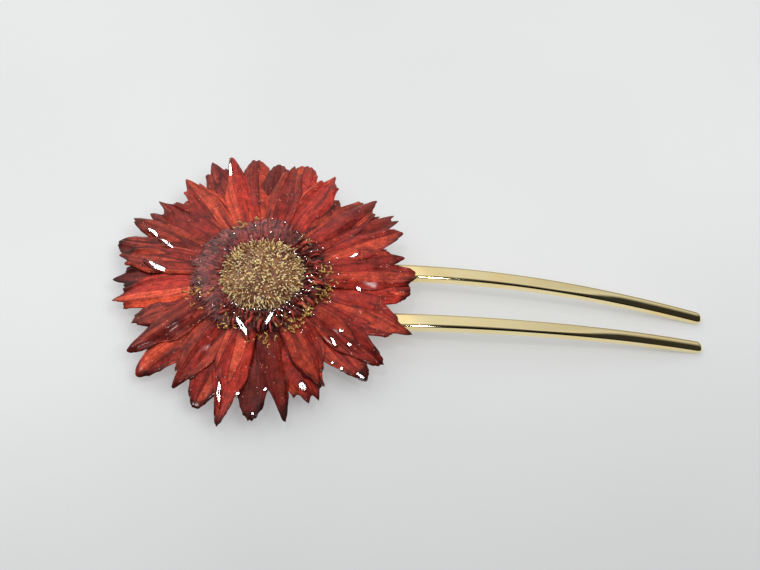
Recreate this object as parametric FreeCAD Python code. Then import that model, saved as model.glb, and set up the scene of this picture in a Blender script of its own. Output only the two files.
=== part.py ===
"""A hair fork with a resin-coated daisy, in millimetres.

The daisy faces +Z, the two prongs run along +X and the origin is the middle of the flat
underside of the resin pad that holds the flower on the fork.
"""

import FreeCAD, Part
import math
import os
import random

Vector = FreeCAD.Vector

# ---- fork: one flat gold bar bent into a U and arched, prong centres in plan and in height ----
TIP_X = 105.0              # far end of both prongs
CROWN_X = 54.0             # highest point of the arch
ARCH_RADIUS = 210.0        # arch of the bare prongs
REAR_RADIUS = 800.0        # the fork levels out again under the flower
REAR_X = 36.0              # where the bare prongs leave the flower
ROOT_HALF_GAP = 7.0        # prong centre from the middle line, at the flower
TAPER_START_X = 20.0
TAPER_END_X = 80.0
TAPER_RADIUS = 1100.0      # the prongs lean in towards each other on this radius, then run straight
BEND_X = -4.0              # middle of the U bend, hidden in the resin
ROOT_WIDTH, ROOT_THICK = 3.7, 2.6
TIP_WIDTH, TIP_THICK = 2.7, 1.8
EDGE_ROUND = 0.28          # corner radius of the bar, as a share of its thickness
TIP_LENGTH = 1.5           # length of the rounded end of a prong
TIP_BLUNT = 0.22           # the prong's last section, as a share of the full one
PRONG_SECTIONS = 14
BEND_STEP = 15             # degrees between sections of the U bend

# ---- flexure: where a prong bends as it spreads in the hair ----
FLEX_X = 16.0
FLEX_GAP = 0.10

# ---- resin pad and flower head ----
PAD_FACE_RADIUS = 9.0
PAD_RADIUS = 13.6
PAD_FLARE_Z = 3.0
PAD_TOP_Z = 5.9
PAD_BULGE = (0.75, 0.32)     # middle of the pad's rounded flank, as shares of its width and height
CALYX_RADIUS = 10.2
CALYX_BULGE = (0.5, -0.3)    # how far the calyx swells outwards and downwards
WALL_RADIUS = 12.3         # side of the flower head, where the petals are rooted
WALL_BOTTOM_Z = 7.0
SHOULDER_Z = 9.95
DOME_RADIUS = 9.8
DOME_HEIGHT = 2.6

# ---- petals: four layers that follow one drooping surface ----
RIM_RADIUS = 36.0
ROOT_RADIUS = 11.65
LAYER_Z = [7.50, 8.20, 8.90, 9.60]
DROOP = 2.65
DROOP_POWER = 1.5
TILT_X, TILT_Y = 0.035, 0.035
RIDE = 1.9                 # extra height of the petals that lie over the prongs
RIDE_FULL, RIDE_END = 19.0, 42.0
PETAL_THICK = 0.50
EDGE_THICK = 0.28
ROOT_WIDTH_SHARE = 0.50
ROOT_WIDEN_POWER = 0.8       # how fast a petal widens from its root
CUP = 0.16
TIP_POWER = 1.7              # roundness of a petal's end
TOOTH_DEPTH = 0.28           # depth of the teeth, as a share of the point's length
NARROW_FROM, NARROW_BY = 0.74, 0.24

# One line per petal: angle of its axis, reach, full width, layer, sideways sweep of its tip in
# degrees, how pointed the end is (length of the point) and its number of teeth.
PETALS = [
    (1.0, 35.5, 9.6, 0, 0.0, 3.0, 1),
    (7.5, 37.0, 7.8, 3, -1.0, 3.4, 1),
    (18.0, 34.5, 9.8, 1, -2.0, 4.2, 2),
    (27.5, 36.0, 7.4, 2, -0.5, 4.0, 1),
    (38.5, 37.5, 9.4, 0, -2.5, 4.0, 3),
    (47.0, 36.0, 8.8, 3, 0.0, 3.4, 2),
    (58.5, 29.8, 9.8, 1, 0.5, 4.6, 1),
    (69.5, 36.0, 8.2, 2, -2.0, 3.6, 2),
    (79.0, 37.0, 9.2, 0, 1.0, 3.0, 1),
    (85.0, 35.5, 7.0, 3, 0.0, 3.2, 2),
    (92.5, 36.0, 9.0, 1, -1.5, 3.4, 1),
    (101.0, 37.0, 8.4, 2, 0.0, 2.6, 1),
    (110.5, 39.0, 7.6, 3, 0.0, 6.0, 1),
    (117.5, 40.5, 9.4, 0, 0.0, 4.2, 2),
    (126.5, 38.5, 8.2, 2, 2.0, 4.4, 2),
    (134.0, 32.0, 9.2, 1, 0.0, 3.0, 1),
    (142.0, 37.0, 8.4, 3, 1.5, 4.6, 2),
    (148.0, 36.5, 9.4, 0, 0.0, 3.4, 2),
    (154.5, 38.5, 6.8, 2, 0.0, 4.4, 1),
    (165.5, 38.8, 8.4, 1, 0.0, 3.4, 1),
    (170.5, 37.5, 8.0, 3, 0.5, 3.4, 2),
    (179.0, 37.0, 9.4, 0, 2.0, 3.8, 2),
    (190.0, 36.5, 8.4, 2, 1.0, 3.4, 2),
    (200.5, 32.5, 10.0, 1, 2.5, 4.6, 1),
    (212.0, 36.0, 8.8, 3, 4.0, 6.0, 1),
    (222.0, 37.0, 10.8, 0, 2.5, 5.0, 1),
    (237.0, 34.5, 9.2, 2, 3.5, 5.0, 2),
    (249.0, 35.5, 11.0, 1, 2.5, 4.6, 1),
    (260.0, 38.0, 8.2, 3, 2.0, 6.0, 1),
    (271.5, 36.0, 8.2, 0, 1.5, 3.8, 1),
    (283.5, 37.0, 7.2, 2, 2.5, 6.5, 1),
    (295.5, 34.2, 10.6, 1, 2.0, 3.2, 3),
    (307.0, 32.0, 8.6, 3, -3.5, 4.6, 2),
    (320.5, 36.0, 8.8, 0, 0.5, 4.4, 1),
    (329.0, 36.5, 8.0, 2, -1.5, 5.0, 1),
    (345.5, 38.5, 11.0, 1, -2.0, 5.4, 2),
]
LENGTH_STEPS = 9
WIDTH_STEPS = 12

# ---- bracts under the petals ----
BRACT_PLACES = 16
BRACT_GAPS = (1, 15)        # no bract over either prong
BRACT_LENGTH, BRACT_WIDTH, BRACT_THICK = 7.0, 3.6, 0.5
BRACT_ROOT = 1.2             # how deep a bract sits in the calyx
BRACT_SHOULDER = 0.45        # where it starts to narrow, as a share of its length
BRACT_Z = 6.3
BRACT_DROOP = 9.0

# ---- florets ----
DISC_FLORETS = 96
DISC_FLORET_RADIUS = 0.36
DISC_FLORET_HEIGHT = 1.5
DISC_FILL = 0.93             # share of the dome that the florets cover
DISC_LEAN = 30
FLORET_SINK = 0.5            # how deep a floret's foot sits in the head
GOLDEN_ANGLE = 137.508
INNER_RING, OUTER_RING = 26, 30
RING_FLORET_RADIUS = 0.38
RING_FLORET_LENGTH = 4.8
INNER_FOOT, OUTER_FOOT = 10.15, 10.9
INNER_LEAN, OUTER_LEAN = 18, 45
ANTHERS = 14
ANTHER_RADIUS = 0.22
ANTHER_LEAN = 50


# ---- shape of the fork ----

def arch_z(x):
    """Height of the bar's centre line at x: the prong tips rest on z = 0."""
    touch_x = TIP_X - TIP_LENGTH
    crown_z = TIP_THICK / 2 + (touch_x - CROWN_X) ** 2 / (2 * ARCH_RADIUS)
    if x >= REAR_X:
        return crown_z - (x - CROWN_X) ** 2 / (2 * ARCH_RADIUS)
    slope = (CROWN_X - REAR_X) / ARCH_RADIUS
    rear_z = crown_z - (REAR_X - CROWN_X) ** 2 / (2 * ARCH_RADIUS)
    return rear_z - slope * (REAR_X - x) + (REAR_X - x) ** 2 / (2 * REAR_RADIUS)


def half_gap(x):
    """Distance of a prong's centre line from the middle line at x."""
    lean = min(max(x, TAPER_START_X), TAPER_END_X) - TAPER_START_X
    straight = max(x - TAPER_END_X, 0.0)
    slope = (TAPER_END_X - TAPER_START_X) / TAPER_RADIUS
    return ROOT_HALF_GAP - lean ** 2 / (2 * TAPER_RADIUS) - slope * straight


def bar_size(x):
    """Width and thickness of the bar at x, tapering evenly along the prongs."""
    share = min(max((x - REAR_X) / (TIP_X - REAR_X), 0.0), 1.0)
    width = ROOT_WIDTH + (TIP_WIDTH - ROOT_WIDTH) * share
    thick = ROOT_THICK + (TIP_THICK - ROOT_THICK) * share
    return width, thick


def bar_section(centre, along, width, thick):
    """A rounded flat section across the bar, as one closed wire."""
    along = Vector(along).normalize()
    across = Vector(0, 0, 1).cross(along).normalize()
    up = along.cross(across)
    half_w, half_t = width / 2, thick / 2
    corner = thick * EDGE_ROUND
    edges = []
    corners = [(1, 1), (-1, 1), (-1, -1), (1, -1)]

    def at(u, v):
        return centre + across * u + up * v

    for index, (sx, sy) in enumerate(corners):
        mid_u, mid_v = sx * (half_w - corner), sy * (half_t - corner)
        cut = corner * math.sqrt(0.5)
        first = (sx * half_w, mid_v) if sx * sy > 0 else (mid_u, sy * half_t)
        last = (mid_u, sy * half_t) if sx * sy > 0 else (sx * half_w, mid_v)
        middle = (mid_u + sx * cut, mid_v + sy * cut)
        edges.append(Part.Arc(at(*first), at(*middle), at(*last)).toShape())
        nx, ny = corners[(index + 1) % 4]
        next_u, next_v = nx * (half_w - corner), ny * (half_t - corner)
        following = (nx * half_w, next_v) if nx * ny > 0 else (next_u, ny * half_t)
        edges.append(Part.makeLine(at(*last), at(*following)))
    return Part.Wire(edges)


def loft_along(stations):
    """A solid through sections at (centre, direction, width, thickness) stations."""
    wires = [bar_section(*station) for station in stations]
    return Part.makeLoft(wires, True, False)


def prong_point(x, side):
    return Vector(x, side * half_gap(x), arch_z(x))


def prong(side):
    """One prong from its flexure to its rounded tip."""
    body_end = TIP_X - TIP_LENGTH
    first = FLEX_X - ROOT_WIDTH / 2 - 1
    step = (body_end - first) / PRONG_SECTIONS
    places = [first + step * i for i in range(PRONG_SECTIONS + 1)]
    places += [TIP_X - TIP_LENGTH * (1 - math.sin(math.radians(a))) for a in (30, 55, 75)]
    places += [TIP_X]
    stations = []
    for x in places:
        width, thick = bar_size(x)
        past = max((x - body_end) / TIP_LENGTH, 0.0)
        shrink = max(math.sqrt(max(1 - past ** 2, 0.0)), TIP_BLUNT)
        ahead = prong_point(x + 0.5, side) - prong_point(x - 0.5, side)
        stations.append((prong_point(x, side), ahead, width * shrink, thick * shrink))
    bar = loft_along(stations)
    pivot = Vector(FLEX_X, side * half_gap(FLEX_X), -10)
    behind = Part.makeBox(20, 20, 40, Vector(FLEX_X - 20, pivot.y - 10, -10))
    round_root = Part.makeCylinder(ROOT_WIDTH / 2, 60, pivot + Vector(0, 0, -10))
    return bar.cut(behind.cut(round_root))


def fork_bridge():
    """The U bend and the two short legs that stand out of the resin pad."""
    leg_end = FLEX_X - 0.6
    leg = [leg_end, 12.0, 8.0, 4.0, 0.0]
    route = [(x, half_gap(x)) for x in leg]
    for angle in range(90, 271, BEND_STEP):
        turn = math.radians(angle)
        route.append((BEND_X + ROOT_HALF_GAP * math.cos(turn), ROOT_HALF_GAP * math.sin(turn)))
    route += [(x, -half_gap(x)) for x in reversed(leg)]
    points = [Vector(x, y, arch_z(x)) for x, y in route]
    stations = []
    for index, point in enumerate(points):
        before = points[max(index - 1, 0)]
        after = points[min(index + 1, len(points) - 1)]
        stations.append((point, after - before, ROOT_WIDTH, ROOT_THICK))
    bar = loft_along(stations)
    for side in (-1, 1):
        pivot = Vector(FLEX_X, side * half_gap(FLEX_X), -20)
        bar = bar.cut(Part.makeCylinder(ROOT_WIDTH / 2 + FLEX_GAP, 60, pivot))
    return bar


# ---- resin pad and flower head ----

def revolve(points, arcs=()):
    """A solid turned about Z from (radius, height) corners; arcs are (start index, mid point)."""
    bulges = dict(arcs)
    edges = []
    for index, start in enumerate(points):
        end = points[(index + 1) % len(points)]
        a, b = Vector(start[0], 0, start[1]), Vector(end[0], 0, end[1])
        if index in bulges:
            mid = bulges[index]
            edges.append(Part.Arc(a, Vector(mid[0], 0, mid[1]), b).toShape())
        else:
            edges.append(Part.makeLine(a, b))
    face = Part.Face(Part.Wire(edges))
    return face.revolve(Vector(0, 0, 0), Vector(0, 0, 1), 360)


def resin_pad():
    """The lump of resin that joins the flower to the fork, flat underneath."""
    across, upwards = PAD_BULGE
    flare = (PAD_FACE_RADIUS + (PAD_RADIUS - PAD_FACE_RADIUS) * across, PAD_FLARE_Z * upwards)
    points = [
        (0, 0),
        (PAD_FACE_RADIUS, 0),
        (PAD_RADIUS, PAD_FLARE_Z),
        (PAD_RADIUS, PAD_TOP_Z),
        (0, PAD_TOP_Z),
    ]
    return revolve(points, [(1, flare)])


def receptacle():
    """The solid base of the flower: calyx, side wall, shoulder and the dome of the disc."""
    out, down = CALYX_BULGE
    calyx = (CALYX_RADIUS + out, (PAD_TOP_Z + WALL_BOTTOM_Z) / 2 + down)
    ball = (DOME_RADIUS ** 2 + DOME_HEIGHT ** 2) / (2 * DOME_HEIGHT)
    half_way = DOME_RADIUS / 2
    sag = ball - math.sqrt(ball ** 2 - half_way ** 2)
    dome = (half_way, SHOULDER_Z + DOME_HEIGHT - sag)
    points = [
        (0, PAD_TOP_Z),
        (CALYX_RADIUS, PAD_TOP_Z),
        (WALL_RADIUS, WALL_BOTTOM_Z),
        (WALL_RADIUS, SHOULDER_Z),
        (DOME_RADIUS, SHOULDER_Z),
        (0, SHOULDER_Z + DOME_HEIGHT),
    ]
    return revolve(points, [(1, calyx), (4, dome)])


# ---- petals ----

def smooth(value):
    value = min(max(value, 0.0), 1.0)
    return value * value * (3 - 2 * value)


def flower_z(x, y):
    """Height of the drooping surface that all petals follow, above their layer's root height."""
    radius = math.hypot(x, y)
    ramp = max((radius - WALL_RADIUS) / (RIM_RADIUS - WALL_RADIUS), 0.0)
    off_prongs = abs(math.degrees(math.atan2(y, x)))
    ride = RIDE * smooth((RIDE_END - off_prongs) / (RIDE_END - RIDE_FULL))
    drop = DROOP * ramp ** DROOP_POWER
    return ramp * (TILT_X * x + TILT_Y * y + ride) - drop


def tip_shape(across, reach, point, teeth):
    """Distance of the petal's end from the flower's axis, at a place across its width."""
    end = reach - point * abs(across) ** TIP_POWER
    if teeth > 1:
        end -= point * TOOTH_DEPTH / 2 * (1 - math.cos(math.pi * (across + 1) * teeth))
    return end


def petal_point(along, across, petal):
    """A point on the petal's middle surface, along 0 to 1 and across -1 to 1."""
    angle, reach, width, layer, sweep, point, teeth = petal
    end = tip_shape(across, reach, point, teeth)
    radius = ROOT_RADIUS + (end - ROOT_RADIUS) * along
    grown = math.sin(math.pi / 2 * along ** ROOT_WIDEN_POWER)
    share = ROOT_WIDTH_SHARE + (1 - ROOT_WIDTH_SHARE) * grown
    narrowing = 1 - NARROW_BY * smooth((along - NARROW_FROM) / (1 - NARROW_FROM))
    offset = across * width / 2 * share * narrowing
    turn = math.radians(angle + sweep * along ** 2)
    x = radius * math.cos(turn) - offset * math.sin(turn)
    y = radius * math.sin(turn) + offset * math.cos(turn)
    cup = CUP * (across ** 2 - 0.5) * smooth(along * 2)
    return Vector(x, y, LAYER_Z[layer] + flower_z(x, y) + cup)


def petal_solid(petal):
    """A thin petal: two fitted faces, joined by narrow faces around the outline."""
    sheets = []
    for sign in (1, -1):
        rows = []
        for i in range(LENGTH_STEPS):
            row = []
            for j in range(WIDTH_STEPS + 1):
                across = 2 * j / WIDTH_STEPS - 1
                along = i / (LENGTH_STEPS - 1)
                thick = EDGE_THICK + (PETAL_THICK - EDGE_THICK) * (1 - across ** 4)
                lift = Vector(0, 0, sign * thick / 2)
                row.append(petal_point(along, across, petal) + lift)
            rows.append(row)
        sheet = Part.BSplineSurface()
        sheet.interpolate(rows)
        sheets.append(sheet)
    top, bottom = sheets
    faces = [top.toShape(), bottom.toShape()]
    u0, u1, v0, v1 = top.bounds()
    for end in (u0, u1):
        faces.append(Part.makeRuledSurface(top.uIso(end).toShape(), bottom.uIso(end).toShape()))
    for end in (v0, v1):
        faces.append(Part.makeRuledSurface(top.vIso(end).toShape(), bottom.vIso(end).toShape()))
    shell = Part.makeShell(faces)
    shell.sewShape()
    return closed_solid(shell)


def closed_solid(shell):
    """The solid inside a sewn shell, turned the right way out."""
    solid = Part.makeSolid(shell.Shells[0])
    if solid.Volume < 0:
        solid.reverse()
    return solid


# ---- bracts and florets ----

def bract(angle):
    """A short pointed green scale under the petals."""
    root = WALL_RADIUS - BRACT_ROOT
    shoulder = WALL_RADIUS + BRACT_LENGTH * BRACT_SHOULDER
    outline = [
        Vector(root, -BRACT_WIDTH / 2, 0),
        Vector(shoulder, -BRACT_WIDTH / 2, 0),
        Vector(WALL_RADIUS + BRACT_LENGTH, 0, 0),
        Vector(shoulder, BRACT_WIDTH / 2, 0),
        Vector(root, BRACT_WIDTH / 2, 0),
    ]
    face = Part.Face(Part.makePolygon(outline + outline[:1]))
    scale = face.extrude(Vector(0, 0, BRACT_THICK))
    scale.rotate(Vector(WALL_RADIUS, 0, 0), Vector(0, 1, 0), BRACT_DROOP)
    scale.translate(Vector(0, 0, BRACT_Z))
    scale.rotate(Vector(0, 0, 0), Vector(0, 0, 1), angle)
    return scale


def bracts():
    """The ring of bracts, left open over the prongs."""
    places = [i for i in range(BRACT_PLACES) if i not in BRACT_GAPS]
    return Part.makeCompound([bract(360 * i / BRACT_PLACES) for i in places])


def stalk(foot, lean, turn, radius, length):
    """A small tapered floret that stands on foot, leans out by lean and faces turn degrees."""
    direction = Vector(math.sin(math.radians(lean)), 0, math.cos(math.radians(lean)))
    floret = Part.makeCone(radius * 0.7, radius, length, foot, direction)
    floret.rotate(Vector(0, 0, 0), Vector(0, 0, 1), turn)
    return floret


def disc_florets():
    """The dome of tiny florets, set in the spiral of a daisy's disc."""
    length = DISC_FLORET_HEIGHT + FLORET_SINK
    florets = []
    for index in range(DISC_FLORETS):
        radius = DOME_RADIUS * DISC_FILL * math.sqrt((index + 0.5) / DISC_FLORETS)
        share = radius / DOME_RADIUS
        height = SHOULDER_Z + DOME_HEIGHT * (1 - share ** 2) - FLORET_SINK
        foot = Vector(radius, 0, height)
        lean = DISC_LEAN * share ** 2
        florets.append(stalk(foot, lean, index * GOLDEN_ANGLE, DISC_FLORET_RADIUS, length))
    return Part.makeCompound(florets)


def ring_florets(count, foot_radius, lean):
    """A ring of longer dark florets around the disc, leaning out over the petals."""
    florets = []
    for index in range(count):
        foot = Vector(foot_radius, 0, SHOULDER_Z - FLORET_SINK)
        turn = 360 * index / count
        florets.append(stalk(foot, lean, turn, RING_FLORET_RADIUS, RING_FLORET_LENGTH))
    return Part.makeCompound(florets)


def anthers():
    """Gold anthers that stand between the outer ring florets, thicker towards one side."""
    spread = random.Random(7)
    places = sorted(spread.sample(range(OUTER_RING), ANTHERS))
    pieces = []
    for place in places:
        turn = 360 * (place + 0.5) / OUTER_RING
        foot = Vector(OUTER_FOOT, 0, SHOULDER_Z - FLORET_SINK)
        pieces.append(stalk(foot, ANTHER_LEAN, turn, ANTHER_RADIUS, RING_FLORET_LENGTH))
    return Part.makeCompound(pieces)


def build():
    """Every piece of the hair fork, by node name."""
    pieces = {
        "fork_bridge": fork_bridge(),
        "prong_left": prong(1),
        "prong_right": prong(-1),
        "resin_pad": resin_pad(),
        "receptacle": receptacle(),
        "bracts": bracts(),
        "disc_florets": disc_florets(),
        "ring_florets_inner": ring_florets(INNER_RING, INNER_FOOT, INNER_LEAN),
        "ring_florets_outer": ring_florets(OUTER_RING, OUTER_FOOT, OUTER_LEAN),
        "anthers": anthers(),
    }
    for index, petal in enumerate(PETALS):
        pieces[f"petal_{index + 1:02d}"] = petal_solid(petal)
    return pieces


def export(pieces):
    os.makedirs("parts", exist_ok=True)
    for name, shape in pieces.items():
        shape.exportStep(f"parts/{name}.step")


export(build())
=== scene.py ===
import bpy
import random
from math import atan2, copysign, cos, degrees, exp, hypot, pi, radians, sin, sqrt, tan, tau
from mathutils import Matrix, Vector, noise
from mathutils.bvhtree import BVHTree


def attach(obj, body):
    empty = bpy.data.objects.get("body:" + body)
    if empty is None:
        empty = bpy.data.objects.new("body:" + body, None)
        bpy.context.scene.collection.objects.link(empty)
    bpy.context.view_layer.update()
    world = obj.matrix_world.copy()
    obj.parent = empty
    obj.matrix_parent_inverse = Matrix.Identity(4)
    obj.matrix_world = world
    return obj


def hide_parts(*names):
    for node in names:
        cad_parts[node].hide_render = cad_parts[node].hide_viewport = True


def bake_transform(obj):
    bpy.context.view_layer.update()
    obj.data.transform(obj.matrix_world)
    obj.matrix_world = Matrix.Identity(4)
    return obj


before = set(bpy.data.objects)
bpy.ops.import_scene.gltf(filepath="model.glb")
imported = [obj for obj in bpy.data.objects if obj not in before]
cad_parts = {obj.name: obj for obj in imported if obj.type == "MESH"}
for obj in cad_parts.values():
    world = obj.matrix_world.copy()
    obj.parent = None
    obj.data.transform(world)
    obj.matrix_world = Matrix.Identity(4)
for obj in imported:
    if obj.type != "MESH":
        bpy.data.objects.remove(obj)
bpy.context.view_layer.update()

MM = 0.001
FLOWER = "flower_and_bridge"

# ---- camera: the view of the whole fork from above its long side ----
CAMERA_YAW = -5.27
CAMERA_ELEVATION = 57.11
CAMERA_ROLL = 0.33
CAMERA_TARGET = Vector((27.64, 3.45, 5.0)) * MM
CAMERA_DISTANCE = 0.33
CAMERA_LENS = 65.2
LAMP_PLACE = Vector((-0.085, -0.2, 0.93))
LAMP_AIM = Vector((0.02, 0.0, 0.0))

# ---- fork, in millimetres, as in part.py ----
TIP_X, TIP_LENGTH = 105.0, 1.5
CROWN_X, ARCH_RADIUS = 54.0, 210.0
REAR_X, REAR_RADIUS = 36.0, 800.0
ROOT_HALF_GAP = 7.0
TAPER_START_X, TAPER_END_X, TAPER_RADIUS = 20.0, 80.0, 1100.0
BEND_X = -4.0
ROOT_WIDTH, ROOT_THICK = 3.7, 2.6
TIP_WIDTH, TIP_THICK = 2.7, 1.8
BAR_STEPS = 150

# ---- flower head ----
PAD_RADIUS, PAD_TOP_Z = 13.6, 5.9
WALL_RADIUS = 12.3
SHOULDER_Z, DOME_RADIUS, DOME_HEIGHT = 9.95, 9.8, 2.6
RIM_RADIUS, ROOT_RADIUS = 36.0, 11.65
LAYER_Z = [7.5, 8.2, 8.9, 9.6]
DROOP, DROOP_POWER = 2.65, 1.5
TILT_X, TILT_Y = 0.035, 0.035
RIDE, RIDE_FULL, RIDE_END = 1.9, 19.0, 42.0
PETAL_THICK = 0.55
ROOT_WIDTH_SHARE = 0.62
VISIBLE_WIDTH = 1.1         # the petals seen are a little wider than their solids
LAYER_CLOSING = 0.44         # how far the layers close up towards the rim, per layer
PETAL_ROWS, PETAL_COLUMNS = 72, 30
TIP_ROUND, TIP_ROUND_LOSS = 2.6, 0.15          # how blunt a petal's end is; less for a long point
TOOTH_DEPTH, TOOTH_GAIN = 0.45, 0.14           # depth of its teeth; more for a long point
NARROW_FROM, NARROWING, NARROW_GAIN = 0.66, 0.16, 0.055   # where and how much its sides draw in
TORN_BITS, TORN_FIBRES = 1.0, 0.5

BRACT_PLACES, BRACTS_MISSING = 16, (1, 15)     # the two under the prongs are missing
BRACT_LENGTH, BRACT_WIDTH, BRACT_ROOT_Z, BRACT_DROOP = 8.0, 3.5, 6.55, radians(9)

# ---- florets and resin ----
DISC_FLORETS, FRINGE_FLORETS, INNER_FLORETS, OUTER_FLORETS = 820, 120, 90, 120
GOLDEN_TURN = radians(137.508)
DISC_FILL = 0.97
# where the ring's resin is milky and its colour carries a painted sheen
MILKY_SHEEN_MIDDLE, MILKY_SHEEN_HALF, MILKY_SHEEN_FADE = 148, 105, 40       # degrees around the flower
FILM_START, FILM_END, FILM_MILKY = 9.5, 16.2, 2.6
FILM_AROUND, FILM_BANDS = 260, 22
RING_SPARKLES, PETAL_SPARKLES = 46, 60
RING_DROPS, DISC_DROPS = 520, 45
POOL_SPOTS = (-0.4, -0.3, -0.15, 0.0, 0.15, 0.3, 0.4)   # where a pool feels the ground, per length
POOL_LIFT = 0.12
POOL_AROUND, POOL_ROWS = 20, 7
POOL_LONG_RADIUS, POOL_CROSS_RADIUS = 450.0, 40.0         # how flat a pool's top is, mm

# One line per clump of anthers: angle, radius and how many.
ANTHERS = [
    (-12, 15.8, 26), (-34, 14.4, 22), (-56, 14.9, 24), (-82, 17.2, 12), (-112, 14.8, 18),
    (12, 14.6, 12), (52, 14.2, 8), (110, 16.0, 10), (202, 14.8, 12), (205, 18.0, 8),
]

# One line per petal: angle, reach, full width, layer, sweep of the tip, point, teeth; then how
# bright it is, how mauve, how much orange shows, how far its tip curls up (mm), depth of its
# lengthwise folds (mm) and how many folds it has.
PETALS = [
    (1.0, 35.5, 9.6, 0, 0.0, 3.0, 1, 1.05, 0.1, 0.7, 0.0, 0.2, 1.0),
    (7.5, 37.0, 7.8, 3, -1.0, 3.4, 1, 0.9, 0.2, 0.4, 0.1, 0.28, 1.4),
    (18.0, 34.5, 9.8, 1, -2.0, 4.2, 2, 0.78, 0.2, 0.3, 0.0, 0.22, 1.2),
    (27.5, 36.0, 7.4, 2, -0.5, 4.0, 1, 0.9, 0.2, 0.6, 0.4, 0.34, 1.0),
    (38.5, 37.5, 9.4, 0, -2.5, 4.0, 3, 0.7, 0.3, 0.3, 0.2, 0.26, 1.6),
    (47.0, 36.0, 8.8, 3, 0.0, 3.4, 2, 0.9, 0.6, 0.6, 0.0, 0.3, 1.5),
    (58.5, 29.8, 9.8, 1, 0.5, 4.6, 1, 0.55, 0.4, 0.2, 0.0, 0.2, 1.0),
    (69.5, 36.0, 8.2, 2, -2.0, 3.6, 2, 1.1, 0.2, 0.7, 0.2, 0.28, 1.2),
    (79.0, 37.0, 9.2, 0, 1.0, 3.0, 1, 1.15, 0.1, 0.8, 0.0, 0.2, 1.3),
    (85.0, 35.5, 7.0, 3, 0.0, 3.2, 2, 0.9, 0.6, 0.5, 0.3, 0.34, 1.0),
    (92.5, 36.0, 9.0, 1, -1.5, 3.4, 1, 0.6, 0.6, 0.2, 0.0, 0.2, 1.2),
    (101.0, 37.0, 8.4, 2, 0.0, 2.6, 1, 0.95, 0.5, 0.4, 0.4, 0.3, 1.0),
    (110.5, 39.0, 7.6, 3, 0.0, 6.0, 1, 1.15, 0.1, 0.6, 0.5, 0.36, 0.8),
    (117.5, 40.5, 9.4, 0, 0.0, 4.2, 2, 0.76, 0.4, 0.3, 0.0, 0.24, 1.5),
    (126.5, 38.5, 8.2, 2, 2.0, 4.4, 2, 1.0, 0.2, 0.7, 0.1, 0.28, 1.4),
    (134.0, 32.0, 9.2, 1, 0.0, 3.0, 1, 0.82, 0.2, 0.5, 0.0, 0.2, 1.0),
    (142.0, 37.0, 8.4, 3, 1.5, 4.6, 2, 0.72, 0.3, 0.4, 0.3, 0.34, 1.5),
    (148.0, 36.5, 9.4, 0, 0.0, 3.4, 2, 0.55, 0.3, 0.3, 0.0, 0.2, 1.0),
    (154.5, 38.5, 6.8, 2, 0.0, 4.4, 1, 0.68, 0.4, 0.4, 0.4, 0.4, 0.8),
    (165.5, 38.8, 8.4, 1, 0.0, 3.4, 1, 0.76, 0.6, 0.4, 0.2, 0.26, 1.1),
    (170.5, 37.5, 8.0, 3, 0.5, 3.4, 2, 0.8, 0.4, 0.5, 0.1, 0.3, 1.3),
    (179.0, 37.0, 9.4, 0, 2.0, 3.8, 2, 0.5, 0.4, 0.1, 0.2, 0.3, 1.0),
    (190.0, 36.5, 8.4, 2, 1.0, 3.4, 2, 1.18, 0.1, 0.8, 0.0, 0.26, 1.5),
    (200.5, 32.5, 10.0, 1, 2.5, 4.6, 1, 0.82, 0.7, 0.3, 0.0, 0.22, 1.0),
    (212.0, 36.0, 8.8, 3, 4.0, 6.0, 1, 0.72, 0.6, 0.4, 0.5, 0.36, 1.4),
    (222.0, 37.0, 10.8, 0, 2.5, 5.0, 1, 0.98, 0.2, 0.7, 0.1, 0.24, 1.2),
    (237.0, 34.5, 9.2, 2, 3.5, 5.0, 2, 0.74, 0.4, 0.4, 0.2, 0.34, 1.5),
    (249.0, 35.5, 11.0, 1, 2.5, 4.6, 1, 0.84, 0.3, 0.5, 0.0, 0.26, 1.2),
    (260.0, 38.0, 8.2, 3, 2.0, 6.0, 1, 1.04, 0.1, 0.7, 0.2, 0.38, 0.8),
    (271.5, 36.0, 8.2, 0, 1.5, 3.8, 1, 0.46, 0.6, 0.1, 0.2, 0.28, 0.8),
    (283.5, 37.0, 7.2, 2, 2.5, 6.5, 1, 0.44, 0.3, 0.15, 0.1, 0.34, 1.2),
    (295.5, 34.2, 10.6, 1, 2.0, 3.2, 3, 0.74, 0.2, 0.7, 0.0, 0.3, 1.3),
    (307.0, 32.0, 8.6, 3, -3.5, 4.6, 2, 0.66, 0.3, 0.4, -0.2, 0.34, 0.9),
    (320.5, 36.0, 8.8, 0, 0.5, 4.4, 1, 0.88, 0.4, 0.3, 0.1, 0.28, 1.0),
    (329.0, 36.5, 8.0, 2, -1.5, 5.0, 1, 0.66, 0.2, 0.3, 0.2, 0.34, 1.0),
    (345.5, 38.5, 11.0, 1, -2.0, 5.4, 2, 0.9, 0.3, 0.4, 0.0, 0.28, 1.4),
]

# One line per resin pool: angle and radius of its middle, length, width and heading.
POOLS = [
    (260, 14.6, 8.0, 1.6, -56),
    (285, 12.9, 5.5, 1.4, -121),
    (112, 34.0, 7.0, 1.0, -79),
    (157, 31.0, 5.5, 1.1, -26),
    (162, 25.5, 6.5, 0.9, -26),
    (178, 25.0, 9.5, 1.5, -20),
    (259, 30.5, 8.0, 1.2, -82),
    (296, 29.5, 2.8, 2.7, 0),
    (358, 23.0, 1.7, 1.5, 0),
    (319, 34.0, 3.2, 1.1, -34),
    (329, 23.5, 1.9, 0.9, -20),
    (321, 24.0, 3.4, 1.1, -43),
    (326, 27.0, 1.6, 1.1, -15),
    (22, 22.5, 3.6, 0.9, 34),
    (315, 30.0, 1.0, 0.9, 0),
    (313.5, 27.5, 0.9, 0.8, 0),
    (274, 34.0, 1.0, 0.9, 0),
    (279, 28.5, 1.3, 1.1, 0),
    (267, 30.0, 1.3, 1.1, 0),
]


# ---- meshes ----

PLAIN_LOOK = (0.5, 0.5, 0.5)


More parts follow.
